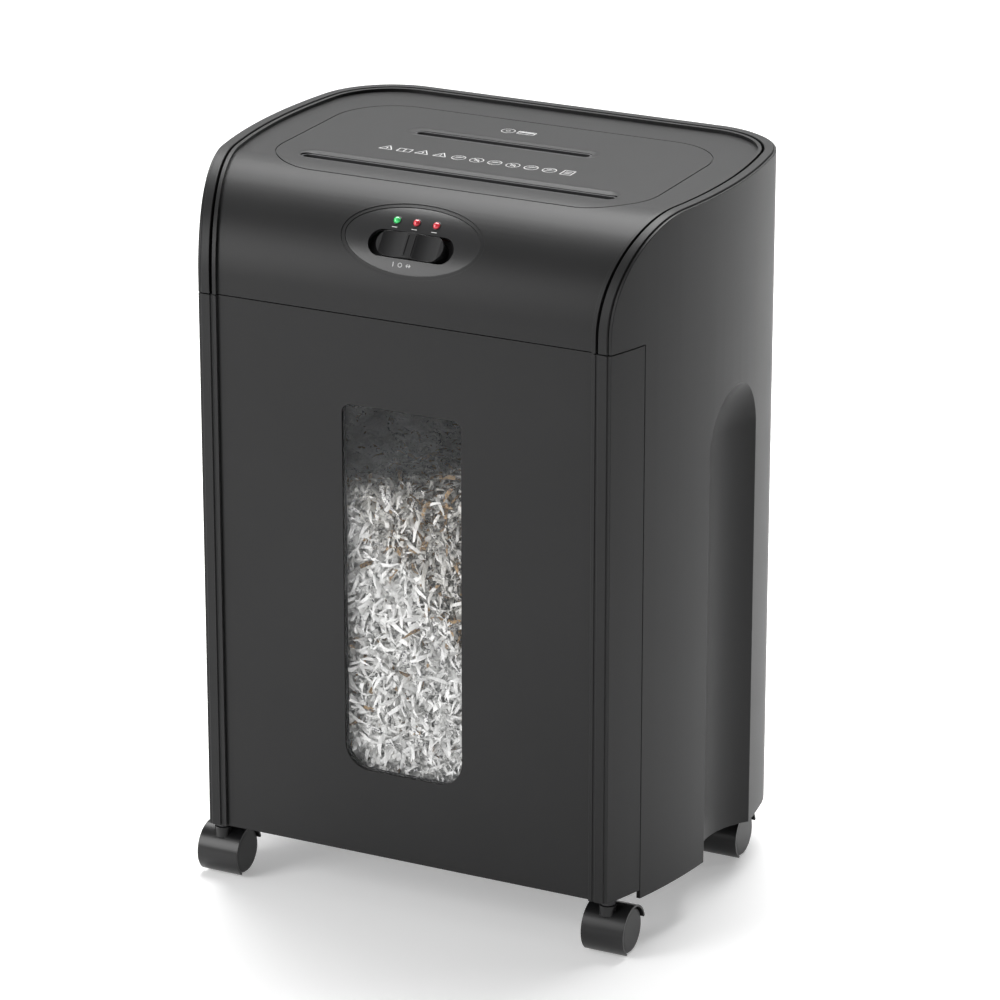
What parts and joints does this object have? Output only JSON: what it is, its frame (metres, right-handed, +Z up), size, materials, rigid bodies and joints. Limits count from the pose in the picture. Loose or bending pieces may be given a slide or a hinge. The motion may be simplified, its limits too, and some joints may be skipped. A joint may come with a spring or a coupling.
{
  "type": "paper shredder",
  "caption": "Upright paper shredder with a pull-out windowed bin, paper and card slots on top, a geared pair of fluted cutters and swivelling twin-wheel casters",
  "frame": {"origin": "on the floor, midway between the sides and between the front and the rear", "axes": "+Z up, -Y to the front where the bin pulls out, +X to the right seen from the front"},
  "size_m": [0.3426, 0.254, 0.49],
  "materials": {
    "black_shell": "fine textured satin black",
    "black_trim": "smooth semi-gloss black",
    "dark_inner_plastic": "matt moulded black",
    "clear_window": "clear moulded plastic",
    "green_lens": "clear tinted green",
    "red_lens": "clear tinted red",
    "circuit_board": "green lacquered board",
    "sensor_plastic": "smooth black",
    "plain_steel": "zinc plated",
    "cutter_steel": "oiled hardened steel",
    "bush_bronze": "sintered bronze",
    "gear_steel": "sintered steel",
    "gear_plastic": "natural nylon",
    "caster_plastic": "satin black nylon",
    "wheel_plastic": "matt black nylon"
  },
  "bodies": {
    "cabinet": {"left_side_panel": "black_shell", "right_side_panel": "black_shell", "rear_panel": "black_shell", "rear_screws": "plain_steel", "cord_gland": "dark_inner_plastic", "base_plate": "dark_inner_plastic", "head_tray": "dark_inner_plastic", "head_rim": "black_shell", "top_cover": "black_shell", "control_bezel": "black_trim", "switch_body": "dark_inner_plastic", "control_board": "circuit_board", "power_lens": "green_lens", "overload_lens": "red_lens", "overheat_lens": "red_lens", "paper_chute": "dark_inner_plastic", "card_chute": "dark_inner_plastic", "paper_sensor": "sensor_plastic", "left_cutter_plate": "plain_steel", "right_cutter_plate": "plain_steel", "cutter_bushes": "bush_bronze", "tie_rods": "plain_steel", "front_comb": "dark_inner_plastic", "rear_comb": "dark_inner_plastic", "gear_posts": "plain_steel", "gearbox_cover": "dark_inner_plastic", "motor_can": "plain_steel", "thermal_cutout": "sensor_plastic", "bin_sensor": "sensor_plastic"},
    "bin": {"bin_front": "black_shell", "bin_window": "clear_window", "bin_tub": "dark_inner_plastic", "bin_magnet": "plain_steel"},
    "mode_switch": {"mode_switch": "black_trim"},
    "rear_cutter": {"rear_cutter": "cutter_steel", "rear_cutter_gear": "gear_steel", "final_gear": "gear_plastic"},
    "front_cutter": {"front_cutter": "cutter_steel", "front_cutter_gear": "gear_steel"},
    "middle_gear": {"middle_gear": "gear_plastic"},
    "first_gear": {"first_gear": "gear_plastic"},
    "motor": {"motor_rotor": "cutter_steel", "motor_fan": "gear_plastic", "motor_pinion": "gear_steel"},
    "front_left_caster": {"front_left_hood": "caster_plastic", "front_left_axle": "plain_steel"},
    "front_left_inner_wheel": {"front_left_inner_wheel": "wheel_plastic"},
    "front_left_outer_wheel": {"front_left_outer_wheel": "wheel_plastic"},
    "front_right_caster": {"front_right_hood": "caster_plastic", "front_right_axle": "plain_steel"},
    "front_right_inner_wheel": {"front_right_inner_wheel": "wheel_plastic"},
    "front_right_outer_wheel": {"front_right_outer_wheel": "wheel_plastic"},
    "rear_left_caster": {"rear_left_hood": "caster_plastic", "rear_left_axle": "plain_steel"},
    "rear_left_inner_wheel": {"rear_left_inner_wheel": "wheel_plastic"},
    "rear_left_outer_wheel": {"rear_left_outer_wheel": "wheel_plastic"},
    "rear_right_caster": {"rear_right_hood": "caster_plastic", "rear_right_axle": "plain_steel"},
    "rear_right_inner_wheel": {"rear_right_inner_wheel": "wheel_plastic"},
    "rear_right_outer_wheel": {"rear_right_outer_wheel": "wheel_plastic"}
  },
  "joints": [
    {"name": "bin_slide", "type": "slide", "parent": "cabinet", "child": "bin", "axis": [0, -1, 0], "range_m": [0, 0.235]},
    {"name": "mode_switch_slide", "type": "slide", "parent": "cabinet", "child": "mode_switch", "axis": [1, 0, 0], "range_m": [-0.0055, 0.0055]},
    {"name": "rear_cutter_spin", "type": "hinge", "parent": "cabinet", "child": "rear_cutter", "pos_m": [0, 0.0133, 0.409], "axis": [1, 0, 0], "continuous": true},
    {"name": "front_cutter_spin", "type": "hinge", "parent": "cabinet", "child": "front_cutter", "pos_m": [0, -0.0267, 0.409], "axis": [1, 0, 0], "continuous": true},
    {"name": "middle_gear_spin", "type": "hinge", "parent": "cabinet", "child": "middle_gear", "pos_m": [0, 0.04922, 0.40413], "axis": [1, 0, 0], "continuous": true},
    {"name": "first_gear_spin", "type": "hinge", "parent": "cabinet", "child": "first_gear", "pos_m": [0, 0.06266, 0.43206], "axis": [1, 0, 0], "continuous": true},
    {"name": "motor_spin", "type": "hinge", "parent": "cabinet", "child": "motor", "pos_m": [0, 0.0805, 0.416], "axis": [1, 0, 0], "continuous": true},
    {"name": "front_left_swivel", "type": "hinge", "parent": "cabinet", "child": "front_left_caster", "pos_m": [-0.142, -0.1154, 0.0454], "axis": [0, 0, 1], "continuous": true},
    {"name": "front_left_inner_roll", "type": "hinge", "parent": "front_left_caster", "child": "front_left_inner_wheel", "pos_m": [-0.142, -0.1074, 0.0155], "axis": [1, 0, 0], "continuous": true},
    {"name": "front_left_outer_roll", "type": "hinge", "parent": "front_left_caster", "child": "front_left_outer_wheel", "pos_m": [-0.142, -0.1074, 0.0155], "axis": [1, 0, 0], "continuous": true},
    {"name": "front_right_swivel", "type": "hinge", "parent": "cabinet", "child": "front_right_caster", "pos_m": [0.142, -0.1154, 0.0454], "axis": [0, 0, 1], "continuous": true},
    {"name": "front_right_inner_roll", "type": "hinge", "parent": "front_right_caster", "child": "front_right_inner_wheel", "pos_m": [0.142, -0.1074, 0.0155], "axis": [1, 0, 0], "continuous": true},
    {"name": "front_right_outer_roll", "type": "hinge", "parent": "front_right_caster", "child": "front_right_outer_wheel", "pos_m": [0.142, -0.1074, 0.0155], "axis": [1, 0, 0], "continuous": true},
    {"name": "rear_left_swivel", "type": "hinge", "parent": "cabinet", "child": "rear_left_caster", "pos_m": [-0.145, 0.0578, 0.0454], "axis": [0, 0, 1], "continuous": true},
    {"name": "rear_left_inner_roll", "type": "hinge", "parent": "rear_left_caster", "child": "rear_left_inner_wheel", "pos_m": [-0.145, 0.0658, 0.0155], "axis": [1, 0, 0], "continuous": true},
    {"name": "rear_left_outer_roll", "type": "hinge", "parent": "rear_left_caster", "child": "rear_left_outer_wheel", "pos_m": [-0.145, 0.0658, 0.0155], "axis": [1, 0, 0], "continuous": true},
    {"name": "rear_right_swivel", "type": "hinge", "parent": "cabinet", "child": "rear_right_caster", "pos_m": [0.145, 0.0578, 0.0454], "axis": [0, 0, 1], "continuous": true},
    {"name": "rear_right_inner_roll", "type": "hinge", "parent": "rear_right_caster", "child": "rear_right_inner_wheel", "pos_m": [0.145, 0.0658, 0.0155], "axis": [1, 0, 0], "continuous": true},
    {"name": "rear_right_outer_roll", "type": "hinge", "parent": "rear_right_caster", "child": "rear_right_outer_wheel", "pos_m": [0.145, 0.0658, 0.0155], "axis": [1, 0, 0], "continuous": true}
  ],
  "couplings": [
    {"joint": "front_cutter_spin", "follows": "rear_cutter_spin", "ratio": -1},
    {"joint": "middle_gear_spin", "follows": "rear_cutter_spin", "ratio": -3.1429},
    {"joint": "first_gear_spin", "follows": "rear_cutter_spin", "ratio": 13.095},
    {"joint": "motor_spin", "follows": "rear_cutter_spin", "ratio": -52.381}
  ]
}
